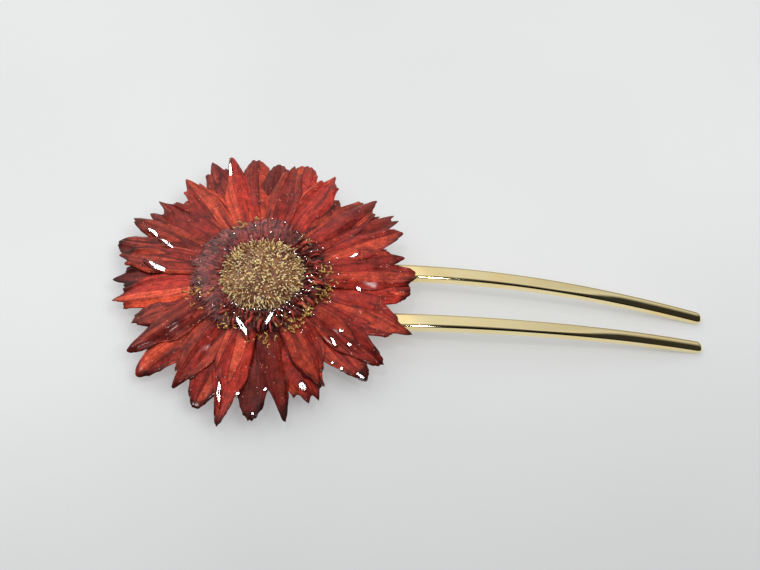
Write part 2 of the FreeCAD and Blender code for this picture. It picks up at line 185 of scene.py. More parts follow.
def smooth(value):
    value = min(max(value, 0.0), 1.0)
    return value * value * (3 - 2 * value)


def wave(x, y, seed):
    """Smooth repeatable noise from -1 to 1 at a place, different for every seed."""
    return noise.noise(Vector((x, y, seed * 7.31)))


def round_wave(turn, scale, seed, shift=0.0):
    """The same noise, read along a circle."""
    return wave(cos(turn) * scale, sin(turn) * scale + shift, seed)


def polar(radius, turn, z=0.0):
    """A place around the flower's axis, or a direction where the radius is 1."""
    return Vector((radius * cos(turn), radius * sin(turn), z))


def rise(height):
    return Vector((0, 0, height))


def link(made):
    bpy.context.scene.collection.objects.link(made)


class Shape:
    """Points, faces and per-point looks of one piece, in millimetres."""

    def __init__(self):
        self.points = []
        self.faces = []
        self.uvs = []
        self.looks = []

    def add(self, point, uv=(0.0, 0.0), look=PLAIN_LOOK):
        self.points.append(Vector(point))
        self.uvs.append(uv)
        self.looks.append(look)
        return len(self.points) - 1

    def bridge(self, rings, flip=False):
        """Faces between neighbouring rings of the same length."""
        for first, second in zip(rings, rings[1:]):
            if flip:
                first, second = second, first
            for i in range(len(first)):
                j = (i + 1) % len(first)
                self.faces.append((first[i], first[j], second[j], second[i]))

    def cap(self, ring, point, look=PLAIN_LOOK, reverse=False):
        """A fan that closes a ring at a point."""
        middle = self.add(point, look=look)
        for i in range(len(ring)):
            j = (i + 1) % len(ring)
            pair = (ring[j], ring[i]) if reverse else (ring[i], ring[j])
            self.faces.append((*pair, middle))

    def shell(self, grid, rows, columns):
        """Both sides of a thin sheet, from its top and under points by row and column."""
        for row in range(rows):
            for column in range(columns):
                corners = [(row, column), (row + 1, column), (row + 1, column + 1), (row, column + 1)]
                self.faces.append(tuple(grid[c][0] for c in corners))
                self.faces.append(tuple(grid[c][1] for c in reversed(corners)))

    def piece(self, name, material):
        """The finished Blender object, smooth shaded, with its UVs and looks."""
        mesh = bpy.data.meshes.new(name)
        mesh.from_pydata([p * MM for p in self.points], [], self.faces)
        layer = mesh.uv_layers.new(name="UVMap")
        corners = [self.uvs[loop.vertex_index] for loop in mesh.loops]
        layer.data.foreach_set("uv", [value for uv in corners for value in uv])
        look = mesh.attributes.new("look", "FLOAT_VECTOR", "POINT")
        look.data.foreach_set("vector", [value for each in self.looks for value in each])
        mesh.shade_smooth()
        mesh.materials.append(material)
        mesh.validate()
        made = bpy.data.objects.new(name, mesh)
        link(made)
        return made

    def flower_piece(self, name, material, slot, *nodes):
        """The same, riding with the flower, in place of these CAD nodes."""
        made = self.piece(name, material)
        if nodes:
            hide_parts(*nodes)
        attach(made, FLOWER)


def tube(shape, route, radii, look, sides=7):
    """A closed round tube along a route of points, tapering by radii."""
    rings = []
    side = None
    for index, point in enumerate(route):
        before = route[max(index - 1, 0)]
        after = route[min(index + 1, len(route) - 1)]
        along = (after - before).normalized()
        if side is None:
            side = along.orthogonal().normalized()
        side = (side - along * side.dot(along)).normalized()
        other = along.cross(side)
        ring = []
        for i in range(sides):
            turn = tau * i / sides
            rim = side * cos(turn) + other * sin(turn)
            place = (i / sides, index / len(route))
            ring.append(shape.add(point + rim * radii[index], place, look))
        rings.append(ring)
    shape.bridge(rings)
    ahead = (route[-1] - route[-2]).normalized() * radii[-1] * 0.6
    shape.cap(rings[0], route[0], look, reverse=True)
    shape.cap(rings[-1], route[-1] + ahead, look)


def bead(shape, centre, radius, height, look, rows=6, sides=8):
    """A smooth round drop of resin; height is its half height."""
    rings = []
    for row in range(1, rows):
        tilt = pi * row / rows
        ring = []
        for i in range(sides):
            spin = tau * i / sides
            local = polar(radius * sin(tilt), spin, height * cos(tilt))
            ring.append(shape.add(centre + local, (i / sides, row / rows), look))
        rings.append(ring)
    shape.bridge(rings, flip=True)
    shape.cap(rings[0], centre + rise(height), look)
    shape.cap(rings[-1], centre - rise(height), look, reverse=True)


# ---- shader nodes ----

def feed(tree, made, inputs):
    """Sets a node's inputs to plain values, or links them to other nodes' sockets."""
    for key, value in inputs.items():
        socket = made.inputs[key]
        if isinstance(value, bpy.types.NodeSocket):
            tree.links.new(value, socket)
        else:
            socket.default_value = (*value, 1.0) if socket.type == "RGBA" else value


def node(tree, kind, inputs=None, **settings):
    made = tree.nodes.new("ShaderNode" + kind)
    for key, value in settings.items():
        setattr(made, key, value)
    feed(tree, made, inputs or {})
    return made


def calc(tree, operation, first, second=0.0, clamp=False):
    made = node(tree, "Math", {0: first, 1: second}, operation=operation, use_clamp=clamp)
    return made.outputs[0]


def times(tree, first, second):
    return calc(tree, "MULTIPLY", first, second)


def ease(tree, value, low, high, start=0.0, end=1.0):
    """Goes smoothly from start to end as the value goes from low to high."""
    inputs = {"Value": value, "From Min": low, "From Max": high, "To Min": start, "To Max": end}
    return node(tree, "MapRange", inputs, interpolation_type="SMOOTHSTEP").outputs[0]


def mix(tree, share, first, second, blend_type="MIX"):
    inputs = {0: share, 6: first, 7: second}
    made = node(tree, "Mix", inputs, data_type="RGBA", blend_type=blend_type)
    return made.outputs[2]


def shaded(tree, colour, shade):
    """A colour multiplied by one number."""
    grey = node(tree, "CombineColor", {0: shade, 1: shade, 2: shade}).outputs[0]
    return mix(tree, 1.0, colour, grey, "MULTIPLY")


def speckle(tree, place, scale, detail=2.0, rough=0.5, warp=0.0):
    inputs = {"Vector": place, "Scale": scale, "Detail": detail, "Roughness": rough, "Distortion": warp}
    return node(tree, "TexNoise", inputs).outputs["Fac"]


def cells(tree, place, scale):
    return node(tree, "TexVoronoi", {"Vector": place, "Scale": scale}).outputs["Distance"]


def vector(tree, x, y, z):
    return node(tree, "CombineXYZ", {0: x, 1: y, 2: z}).outputs[0]


def parts_of(tree, socket):
    """The three numbers of a vector socket."""
    return node(tree, "SeparateXYZ", {0: socket}).outputs


def bump(tree, height, distance, strength=1.0, normal=None):
    inputs = {"Height": height, "Distance": distance, "Strength": strength}
    if normal is not None:
        inputs["Normal"] = normal
    return node(tree, "Bump", inputs).outputs[0]


def material(name):
    """A new material with one Principled shader; gives it, its tree and the shader."""
    made = bpy.data.materials.new(name)
    made.use_nodes = True
    tree = made.node_tree
    tree.nodes.clear()
    shader = node(tree, "BsdfPrincipled")
    out = node(tree, "OutputMaterial")
    tree.links.new(shader.outputs[0], out.inputs[0])
    return made, tree, shader


def coat(roughness, ior=1.5, weight=1.0):
    return {"Coat Weight": weight, "Coat Roughness": roughness, "Coat IOR": ior}


def show_mixed(tree, share, first, second):
    """Sends a mix of two shaders to the material's output."""
    both = node(tree, "MixShader", {0: share, 1: first.outputs[0], 2: second.outputs[0]})
    out = next(each for each in tree.nodes if each.type == "OUTPUT_MATERIAL")
    tree.links.new(both.outputs[0], out.inputs[0])


def object_place(tree):
    return node(tree, "TexCoord").outputs["Object"]


def uv_parts(tree):
    return parts_of(tree, node(tree, "UVMap", uv_map="UVMap").outputs[0])


def look_parts(tree):
    """The three numbers that a piece's points carry: for petals tone, mauve and orange."""
    return parts_of(tree, node(tree, "Attribute", attribute_name="look").outputs["Vector"])


# ---- materials ----

ORANGE = (0.8, 0.104, 0.046)
BRICK = (0.46, 0.034, 0.021)
MAUVE = (0.26, 0.036, 0.03)
WINE = (0.1, 0.0085, 0.008)
BLACK_WINE = (0.022, 0.004, 0.004)
# pale mauve for the painted sheen on the rims and tips of the rear petals
REAR_RIM_SHEEN = (0.17, 0.045, 0.035)
FLOOR_GLOW = 0.44            # how much of the floor's light is its own


def petal_material():
    """Dried petal under clear resin: lengthwise wedges of colour, veins, dark margins and tip; towards the
    back of the flower the margins and tip take a painted pale sheen instead.
    """
    made, tree, shader = material("petal")
    tone, haze, orange = look_parts(tree)
    across, along, _ = uv_parts(tree)
    seed = times(tree, calc(tree, "ADD", tone, times(tree, haze, 3.7)), 9.1)
    place = object_place(tree)

    def stretched(wide, long, shift):
        side = calc(tree, "ADD", times(tree, across, wide), seed)
        return vector(tree, side, times(tree, along, long), calc(tree, "ADD", seed, shift))

    wedges = speckle(tree, stretched(3.0, 0.7, 0.0), 1.0, 1.0, 0.4, 0.2)
    bands = speckle(tree, stretched(7.0, 1.3, 4.0), 1.0, 2.0, 0.5, 0.4)
    veins = speckle(tree, stretched(22.0, 2.0, 9.0), 1.0, 3.0, 0.6, 0.3)
    fibre = speckle(tree, stretched(70.0, 9.0, 2.0), 1.0, 2.0, 0.6)
    mottle = speckle(tree, place, 620.0, 4.0, 0.65)
    blotch = speckle(tree, place, 170.0, 3.0, 0.6)

    outer = calc(tree, "MULTIPLY", haze, ease(tree, along, 0.25, 0.85, 0.4, 1.5), clamp=True)
    colour = mix(tree, outer, BRICK, MAUVE)
    wedge = times(tree, ease(tree, wedges, 0.49, 0.53), orange)
    colour = mix(tree, wedge, colour, ORANGE)
    colour = mix(tree, ease(tree, bands, 0.53, 0.6, 0.0, 0.5), colour, WINE)
    edge = calc(tree, "ABSOLUTE", calc(tree, "SUBTRACT", wedges, 0.5))
    colour = mix(tree, ease(tree, edge, 0.0, 0.016, 0.8, 0.0), colour, WINE)
    colour = mix(tree, ease(tree, blotch, 0.52, 0.72, 0.0, 0.6), colour, WINE)
    lines = ease(tree, veins, 0.32, 0.48, 0.62, 1.0)
    grain = ease(tree, fibre, 0.3, 0.7, 0.82, 1.12)
    dirt = ease(tree, mottle, 0.25, 0.75, 0.62, 1.36)
    dust = ease(tree, speckle(tree, place, 1900.0, 3.0, 0.7), 0.3, 0.7, 0.78, 1.22)
    shade = times(tree, times(tree, lines, grain), times(tree, dirt, dust))
    colour = shaded(tree, colour, times(tree, shade, tone))

    offset = calc(tree, "ABSOLUTE", calc(tree, "SUBTRACT", times(tree, across, 2.0), 1.0))
    wobble = times(tree, calc(tree, "SUBTRACT", blotch, 0.5), 0.5)
    margin = ease(tree, calc(tree, "ADD", offset, times(tree, wobble, 0.3)), 0.9, 1.0, 0.0, 0.5)
    tip = ease(tree, calc(tree, "ADD", along, wobble), 0.84, 1.02, 0.0, 0.88)
    root = ease(tree, calc(tree, "ADD", along, wobble), 0.06, 0.3, 0.7, 0.0)
    # painted sheen: towards the back of the flower the rims and tips turn pale mauve and their dark edging
    # fades, for the bright room mirrored in the resin
    _, back, _ = parts_of(tree, place)
    rear = ease(tree, back, 0.01, 0.026)
    colour = mix(tree, root, colour, BLACK_WINE)
    rim = times(tree, calc(tree, "MAXIMUM", margin, tip), ease(tree, back, 0.01, 0.026, 1.0, 0.55))
    colour = mix(tree, rim, colour, mix(tree, rear, BLACK_WINE, REAR_RIM_SHEEN))
    dots = ease(tree, cells(tree, place, 1000.0), 0.1, 0.17, 0.55, 0.0)
    sparse = ease(tree, speckle(tree, place, 330.0, 1.0), 0.5, 0.6)
    colour = mix(tree, times(tree, dots, sparse), colour, (0.9, 0.5, 0.38))

    under = bump(tree, calc(tree, "ADD", veins, times(tree, mottle, 0.6)), 0.00022, 0.9)
    resin = bump(tree, speckle(tree, place, 260.0, 1.0, 0.4), 0.00018, 0.7)
    feed(tree, shader, {
        "Base Color": colour,
        "Roughness": 0.62,
        "Specular IOR Level": 0.0,
        "Normal": under,
        **coat(0.17, 1.31),
        "Coat Normal": resin,
    })
    return made


def gold_material():
    """Pale gold plate, polished, with fine lengthwise scratches."""
    made, tree, shader = material("gold_plate")
    x, y, z = parts_of(tree, object_place(tree))
    stretched = vector(tree, times(tree, x, 40.0), times(tree, y, 1400.0), times(tree, z, 1400.0))
    scratch = speckle(tree, stretched, 1.0, 4.0, 0.7)
    cloud = speckle(tree, object_place(tree), 90.0, 3.0, 0.6)
    colour = mix(tree, ease(tree, cloud, 0.35, 0.7), (1.0, 0.865, 0.5), (1.0, 0.8, 0.4))
    feed(tree, shader, {
        "Base Color": colour,
        "Metallic": 1.0,
        "Roughness": ease(tree, scratch, 0.3, 0.7, 0.03, 0.09),
        "Normal": bump(tree, cloud, 0.00004, 0.3, bump(tree, scratch, 0.000006, 0.3)),
    })
    return made


def floret_material(name, dark, light, tip, wet, rough):
    """Dried floret fibres: colour from the look's first number, tips by its second."""
    made, tree, shader = material(name)
    mixture, tipped, _ = look_parts(tree)
    _, along, _ = uv_parts(tree)
    grain = speckle(tree, object_place(tree), 1500.0, 3.0, 0.6)
    colour = mix(tree, mixture, dark, light)
    colour = mix(tree, times(tree, ease(tree, along, 0.4, 0.8), tipped), colour, tip)
    feed(tree, shader, {
        "Base Color": shaded(tree, colour, ease(tree, grain, 0.3, 0.7, 0.5, 1.45)),
        "Roughness": rough,
        "Normal": bump(tree, grain, 0.0001, 0.6),
        "Specular IOR Level": 0.2,
        **coat(0.06, 1.38, wet),
    })
    return made


def film_material():
    """Resin over the ring of florets, clouded mauve-brown with streaks that run outwards; pale at the rear
    left, milky resin with a painted sheen, and near black at the front right.
    """
    made, tree, shader = material("resin_film")
    turn, out, _ = uv_parts(tree)
    place = object_place(tree)
    rays = vector(tree, times(tree, turn, 150.0), times(tree, out, 3.0), 0.0)
    streak = speckle(tree, rays, 1.0, 3.0, 0.6, 0.5)
    cloud = speckle(tree, place, 420.0, 4.0, 0.65)
    milky_sheen, _, _ = look_parts(tree)
    # painted sheen: pale towards the rear left, milky resin with the bright room mirrored in it; near
    # black towards the front right
    pale = mix(tree, ease(tree, cloud, 0.4, 0.6), (0.15, 0.018, 0.016), (0.42, 0.056, 0.045))
    colour = mix(tree, milky_sheen, (0.06, 0.007, 0.007), pale)
    colour = mix(tree, ease(tree, streak, 0.44, 0.56, 0.0, 0.85), colour, (0.05, 0.007, 0.007))
    bubble = ease(tree, cells(tree, place, 1100.0), 0.14, 0.24, 0.4, 0.0)
    colour = mix(tree, bubble, colour, (0.42, 0.2, 0.16))
    feed(tree, shader, {
        "Base Color": colour,
        "Roughness": 0.5,
        "Normal": bump(tree, streak, 0.0002, 0.6),
        **coat(0.05, 1.38),
        "Coat Normal": bump(tree, calc(tree, "ADD", cloud, streak), 0.00022, 0.5),
    })
    ragged = calc(tree, "ADD", out, times(tree, calc(tree, "SUBTRACT", streak, 0.5), 1.1))
    cover = ease(tree, ragged, 0.55, 0.9, 1.0, 0.0)
    show_mixed(tree, cover, node(tree, "BsdfTransparent"), shader)
    return made


def bead_material():
    """Clear resin drops that have taken on the red below them."""
    made, tree, shader = material("resin_drop")
    tone, _, _ = look_parts(tree)
    cloud = speckle(tree, object_place(tree), 900.0, 2.0)
    colour = mix(tree, tone, (0.05, 0.006, 0.006), (0.5, 0.07, 0.045))
    feed(tree, shader, {
        "Base Color": mix(tree, ease(tree, cloud, 0.4, 0.7, 0.0, 0.5), colour, (0.2, 0.03, 0.02)),
        "Roughness": 0.3,
        "Normal": bump(tree, cloud, 0.00005, 0.3),
        **coat(0.03),
    })
    return made


def clear_material():
    """Clear glossy resin, see-through, brighter at grazing angles."""
    made, tree, shader = material("clear_film")
    tree.nodes.remove(shader)
    ripple = bump(tree, speckle(tree, object_place(tree), 900.0, 2.0), 0.000008, 0.4)
    gloss = node(tree, "BsdfGlossy", {"Roughness": 0.1, "Normal": ripple})
    through = node(tree, "BsdfTransparent", {"Color": (0.96, 0.93, 0.91)})
    edge = node(tree, "Fresnel", {"IOR": 1.5, "Normal": ripple}).outputs[0]
    show_mixed(tree, edge, through, gloss)
    return made


def pad_material():
    """Amber resin of the pad, with trapped bubbles."""
    made, tree, shader = material("pad_resin")
    place = object_place(tree)
    cloud = speckle(tree, place, 140.0, 4.0, 0.6)
    bubble = ease(tree, cells(tree, place, 420.0), 0.1, 0.22, 0.6, 0.0)
    colour = mix(tree, ease(tree, cloud, 0.35, 0.7), (0.3, 0.1, 0.045), (0.16, 0.035, 0.02))
    feed(tree, shader, {
        "Base Color": mix(tree, bubble, colour, (0.62, 0.38, 0.24)),
        "Roughness": ease(tree, cloud, 0.3, 0.7, 0.25, 0.4),
        "Subsurface Weight": 0.25,
        "Subsurface Scale": 0.002,
        "Normal": bump(tree, cloud, 0.0003, 0.5),
        **coat(0.06),
    })
    return made


def fibre_material(name, first, second, rough):
    """Dried plant tissue with a fine uneven grain."""
    made, tree, shader = material(name)
    place = object_place(tree)
    grain = speckle(tree, place, 700.0, 5.0, 0.7, 0.4)
    patch = speckle(tree, place, 240.0, 2.0)
    feed(tree, shader, {
        "Base Color": mix(tree, ease(tree, calc(tree, "ADD", grain, patch), 0.8, 1.2), first, second),
        "Roughness": rough,
        "Normal": bump(tree, grain, 0.0004, 0.8),
        **coat(0.12, weight=0.5),
    })
    return made


def floor_material():
    """Pale matt sheet with painted shade, darker to the front and right and lighter at the left; it glows
    faintly, a painted light that keeps shadows soft.
    """
    made, tree, shader = material("pale_sheet")
    place = object_place(tree)
    tooth = speckle(tree, place, 900.0, 3.0, 0.6)
    cloud = speckle(tree, place, 14.0, 3.0, 0.5)
    colour = mix(tree, ease(tree, cloud, 0.3, 0.7), (0.79, 0.8, 0.805), (0.77, 0.78, 0.785))
    # painted shade: the sheet darkens to the front and right and brightens at the left, as the room's
    # light falls off
    x, y, _ = parts_of(tree, place)
    slope = calc(tree, "SUBTRACT", y, times(tree, x, 0.25))
    shade = ease(tree, slope, -0.13, 0.03, 0.7, 0.96)
    shade = times(tree, shade, ease(tree, x, -0.05, 0.01, 1.05, 1.0))
    colour = shaded(tree, colour, shade)
    feed(tree, shader, {
        "Base Color": shaded(tree, colour, 1 - FLOOR_GLOW),
        "Emission Color": colour,
        "Emission Strength": FLOOR_GLOW,
        "Roughness": 0.9,
        "Specular IOR Level": 0.1,
        "Normal": bump(tree, tooth, 0.0001, 0.25),
    })
    return made


# ---- fork ----

def arch_z(x):
    """Height of the bar's centre line at x, as in part.py."""
    touch_x = TIP_X - TIP_LENGTH
    crown_z = TIP_THICK / 2 + (touch_x - CROWN_X) ** 2 / (2 * ARCH_RADIUS)
    if x >= REAR_X:
        return crown_z - (x - CROWN_X) ** 2 / (2 * ARCH_RADIUS)
    slope = (CROWN_X - REAR_X) / ARCH_RADIUS
    rear_z = crown_z - (REAR_X - CROWN_X) ** 2 / (2 * ARCH_RADIUS)
    return rear_z - slope * (REAR_X - x) + (REAR_X - x) ** 2 / (2 * REAR_RADIUS)


def half_gap(x):
    """Distance of a prong's centre line from the middle line at x, as in part.py."""
    lean = min(max(x, TAPER_START_X), TAPER_END_X) - TAPER_START_X
    straight = max(x - TAPER_END_X, 0.0)
    slope = (TAPER_END_X - TAPER_START_X) / TAPER_RADIUS
    return ROOT_HALF_GAP - lean ** 2 / (2 * TAPER_RADIUS) - slope * straight


def bar_size(x):
    share = min(max((x - REAR_X) / (TIP_X - REAR_X), 0.0), 1.0)
    width = ROOT_WIDTH + (TIP_WIDTH - ROOT_WIDTH) * share
    thick = ROOT_THICK + (TIP_THICK - ROOT_THICK) * share
    return width, thick


def bar_section():
    """The bar's outline as shares of its half width and half thickness: both faces crowned."""
    top = [(-1.0, 0.0), (-1.0, 0.35), (-1.0, 0.55), (-0.99, 0.68), (-0.965, 0.76), (-0.925, 0.815),
           (-0.89, 0.845), (-0.81, 0.885), (-0.72, 0.92), (-0.63, 0.95), (-0.54, 0.97),
           (-0.42, 0.982), (-0.3, 0.991), (-0.15, 0.998), (-0.03, 1.0)]
    right = [(-u, v) for u, v in reversed(top)]
    upper = top + right
    return upper + [(u * 0.995, -v) for u, v in reversed(upper[1:-1])]


def fork_half(name, side, gold):
    """Half of the gold bar: from the middle of the U bend to the tip of one prong."""
    shape = Shape()
    route = []
    for angle in range(185, 89, -5):
        turn = radians(angle)
        route.append((BEND_X + ROOT_HALF_GAP * cos(turn), ROOT_HALF_GAP * sin(turn)))
    body_end = TIP_X - TIP_LENGTH
    for step in range(1, BAR_STEPS + 1):
        x = BEND_X + (body_end - BEND_X) * step / BAR_STEPS
        route.append((x, half_gap(x)))
    for angle in range(8, 89, 8):
        x = body_end + TIP_LENGTH * sin(radians(angle))
        route.append((x, half_gap(x)))
    points = [Vector((x, side * y, arch_z(x))) for x, y in route]
    section = bar_section()
    rings = []
    for index, point in enumerate(points):
        before, after = points[max(index - 1, 0)], points[min(index + 1, len(points) - 1)]
        along = (after - before).normalized()
        across = rise(1).cross(along).normalized()
        up = along.cross(across)
        width, thick = bar_size(point.x)
        past = max((point.x - body_end) / TIP_LENGTH, 0.0)
        shrink = sqrt(max(1 - past ** 2, 0.0))
        ring = []
        for place, (u, v) in enumerate(section):
            local = across * (u * width / 2 * shrink) + up * (v * thick / 2 * shrink)
            ring.append(shape.add(point + local, (place / len(section), index / len(points))))
        rings.append(ring)
    shape.bridge(rings, flip=True)
    shape.cap(rings[0], points[0])
    end = points[-1] + Vector((TIP_LENGTH * 0.01, 0, 0))
    shape.cap(rings[-1], end, reverse=True)
    return shape.piece(name, gold)


def build_fork(gold):
    for name, side, node_names, body in (
        ("fork_left_half", 1, ("prong_left", "fork_bridge"), "left_prong"),
        ("fork_right_half", -1, ("prong_right",), "right_prong"),
    ):
        half = fork_half(name, side, gold)
        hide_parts(*node_names)
        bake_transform(half)


# ---- petals ----

def flower_z(x, y):
    """Height of the drooping surface that all petals follow, as in part.py."""
    radius = hypot(x, y)
    ramp = max((radius - WALL_RADIUS) / (RIM_RADIUS - WALL_RADIUS), 0.0)
    off_prongs = abs(degrees(atan2(y, x)))
    ride = RIDE * smooth((RIDE_END - off_prongs) / (RIDE_END - RIDE_FULL))
    return ramp * (TILT_X * x + TILT_Y * y + ride) - DROOP * ramp ** DROOP_POWER


def petal_tip(across, reach, point, teeth, seed):
    """Distance of the petal's end from the flower's axis: a point, teeth and torn bits."""
    end = reach - point * abs(across) ** (TIP_ROUND - TIP_ROUND_LOSS * point)
    if teeth > 1:
        depth = TOOTH_DEPTH + point * TOOTH_GAIN
        end -= depth * (1 - cos(pi * (across + 1) * teeth))
    bits = abs(wave(across * 3.1, 0.0, seed)) * TORN_BITS
    return end - (bits + abs(wave(across * 9.0, 4.0, seed)) * TORN_FIBRES)


def petal_middle(along, across, petal, seed):
    """A point on the petal's middle surface with its folds, ripples and curled tip."""
    angle, reach, width, layer, sweep, point, teeth = petal[:7]
    curl, fold, folds = petal[10:13]
    end = petal_tip(across, reach, point, teeth, seed)
    radius = ROOT_RADIUS + (end - ROOT_RADIUS) * along
    share = ROOT_WIDTH_SHARE + (1 - ROOT_WIDTH_SHARE) * sin(pi / 2 * along ** 0.8)
    narrowing = 1 - (NARROWING + NARROW_GAIN * point) * smooth((along - NARROW_FROM) / (1 - NARROW_FROM))
    ragged = 1 + 0.05 * wave(along * 6.0, copysign(3.0, across), seed)
    offset = across * width * VISIBLE_WIDTH / 2 * share * narrowing * ragged
    bend = sweep * along ** 2 + 1.2 * wave(along * 1.6, 9.0, seed) * along
    turn = radians(angle + bend)
    x = radius * cos(turn) - offset * sin(turn)
    y = radius * sin(turn) + offset * cos(turn)
    grown = smooth(along * 1.6)
    phase = wave(0.3, along * 1.3, seed) * 1.6 + seed
    ridges = fold * cos(pi * across * folds + phase) * grown
    crease = -0.5 * fold * abs(sin(pi * across * folds * 1.5 + phase * 1.7)) ** 0.7 * grown
    ripple = 0.22 * wave(along * 5.0, across * 0.8, seed + 0.5) * grown
    lift = curl * smooth((along - 0.78) / 0.22) - 0.25 * across ** 2 * grown
    height = LAYER_Z[layer] + flower_z(x, y) - LAYER_CLOSING * (layer - 1.5) * smooth(along * 1.3)
    return Vector((x, y, height + ridges + crease + ripple + lift))


def petal_shape(petal, seed):
    """A closed thin shell with rounded edges, from root to torn tip."""
    shape = Shape()
    look = tuple(petal[7:10])
    grid = {}
    for row in range(PETAL_ROWS + 1):
        along = 1 - (1 - row / PETAL_ROWS) ** 1.25
        for column in range(PETAL_COLUMNS + 1):
            across = sin(pi / 2 * (2 * column / PETAL_COLUMNS - 1))
            rim = row in (0, PETAL_ROWS) or column in (0, PETAL_COLUMNS)
            edge = sqrt(max(1 - abs(across) ** 5, 0.0))
            end = sqrt(max(1 - max((along - 0.93) / 0.07, 0.0) ** 2, 0.0))
            half = PETAL_THICK / 2 * edge * end
            middle = petal_middle(along, across, petal, seed)
            uv = ((across + 1) / 2, along)
            top = shape.add(middle + rise(0 if rim else half), uv, look)
            under = top if rim else shape.add(middle - rise(half), uv, look)
            grid[row, column] = (top, under)
    shape.shell(grid, PETAL_ROWS, PETAL_COLUMNS)
    return shape


def height_finder(shapes):
    """A function that gives the height of the uppermost of these shapes at x, y."""
    points, faces = [], []
    for shape in shapes:
        start = len(points)
        points += shape.points
        faces += [tuple(start + i for i in face) for face in shape.faces]
    tree = BVHTree.FromPolygons(points, faces)

    def height(x, y):
        hit = tree.ray_cast(Vector((x, y, 40.0)), rise(-1))[0]
        return hit.z if hit else surface_z(x, y)

    return height


def build_petals(skin):
    shapes = []
    for number, petal in enumerate(PETALS, start=1):
        shape = petal_shape(petal, number)
        shape.flower_piece(f"petal_skin_{number:02d}", skin, "petal", f"petal_{number:02d}")
        shapes.append(shape)
    return shapes


# ---- florets ----

def dome_z(radius):
    return SHOULDER_Z + DOME_HEIGHT * max(1 - (radius / DOME_RADIUS) ** 2, 0.0)


def disc_shape(rng):
    """Hundreds of tiny hooked florets in the spiral of a daisy's disc."""
    shape = Shape()
    edge = DOME_RADIUS * DISC_FILL
    for index in range(DISC_FLORETS):
        radius = edge * sqrt((index + 0.5) / DISC_FLORETS)
        radius = min(radius + rng.uniform(-0.35, 0.35), edge)
        turn = index * GOLDEN_TURN + rng.uniform(-0.2, 0.2) / (0.3 + radius / DOME_RADIUS)
        share = radius / DOME_RADIUS
        lean = rng.uniform(0.2, 1.2) * (1 - share ** 2) + 1.1 * share ** 2
        length = rng.uniform(0.5, 1.3)
        thick = rng.uniform(0.09, 0.2) - 0.02 * share
        twist = rng.uniform(-3.1, 3.1) * (1 - share) + rng.uniform(-0.8, 0.8) * share
        out = polar(1, turn + twist)
        foot = polar(radius, turn, dome_z(radius) - 0.15)
        route = []
        for step in range(5):
            t = step / 4
            push = sin(lean * t) * length * t
            route.append(foot + out * push + rise(length * t * cos(lean * t * 1.2)))
        radii = [thick * k for k in (0.8, 0.75, 0.8, 1.0, 1.25)]
        gold = min(max(rng.gauss(0.62, 0.45) - 0.35 * share, 0.0), 1.0)
        look = (gold, rng.uniform(0.3, 1.0), 0.0)
        tube(shape, route, radii, look, 6)
    return shape


def fringe_shape(rng):
    """Longer gold hooks that lie outwards around the edge of the disc."""
    shape = Shape()
    for index in range(FRINGE_FLORETS):
        turn = tau * (index + rng.uniform(-0.4, 0.4)) / FRINGE_FLORETS
        radius = rng.uniform(7.0, 9.0)
        length = rng.uniform(1.0, 2.1)
        side = rng.uniform(-0.5, 0.5)
        foot = polar(radius, turn, dome_z(radius) + 0.1)
        out = polar(1, turn + side)
        hook = rng.uniform(0.2, 0.7)
        route = []
        for step in range(6):
            t = step / 5
            height = 1.1 * sin(pi * min(t * 0.75, 0.62)) - hook * t ** 3
            route.append(foot + out * length * t + rise(height))
        radii = [0.13, 0.12, 0.12, 0.12, 0.13, 0.1]
        tube(shape, route, radii, (rng.random(), rng.uniform(0.2, 1.0), 0.0), 6)
    return shape


def milky_sheen_side(turn):
    """How clouded the resin is around the ring, and how much painted sheen its colour gets: 1 at the rear
    left, 0 at the front right.
    """
    away = abs((degrees(turn) - MILKY_SHEEN_MIDDLE + 180) % 360 - 180)
    return smooth((MILKY_SHEEN_HALF - away) / MILKY_SHEEN_FADE)


def ring_shape(rng, inner):
    """Curved dark florets that stand around the disc and arch out over the petals."""
    shape = Shape()
    count = INNER_FLORETS if inner else OUTER_FLORETS
    for index in range(count):
        turn = tau * (index + rng.uniform(-0.5, 0.5)) / count
        milky_sheen = milky_sheen_side(turn)
        foot_radius = rng.uniform(9.9, 10.6) if inner else rng.uniform(10.8, 12.6)
        reach = rng.uniform(1.0, 2.2) if inner else rng.uniform(1.6, 3.8)
        height = (rng.uniform(0.5, 1.4) if inner else rng.uniform(0.3, 1.0)) * (1 - 0.75 * milky_sheen)
        side = rng.uniform(-0.6, 0.6)
        foot = polar(foot_radius, turn, SHOULDER_Z - 0.1)
        out = polar(1, turn + side)
        curl = rng.uniform(0.3, 0.9)
        route = []
        for step in range(6):
            t = step / 5
            arch = height * sin(pi * t * 0.85) - curl * t ** 3 * 0.4
            route.append(foot + out * reach * t + rise(arch + 0.35))
        thick = rng.uniform(0.2, 0.36)
        radii = [thick * k for k in (0.8, 0.9, 0.9, 1.0, 1.05, 0.8)]
        red = rng.random() ** 4 * 0.6 if inner else rng.random() ** (1.4 + 0.6 * (1 - milky_sheen))
        tipped = 1.0 if rng.random() < 0.08 * (1 - milky_sheen) else 0.0
        tube(shape, route, radii, (red, tipped, 0.0), 8)
    return shape


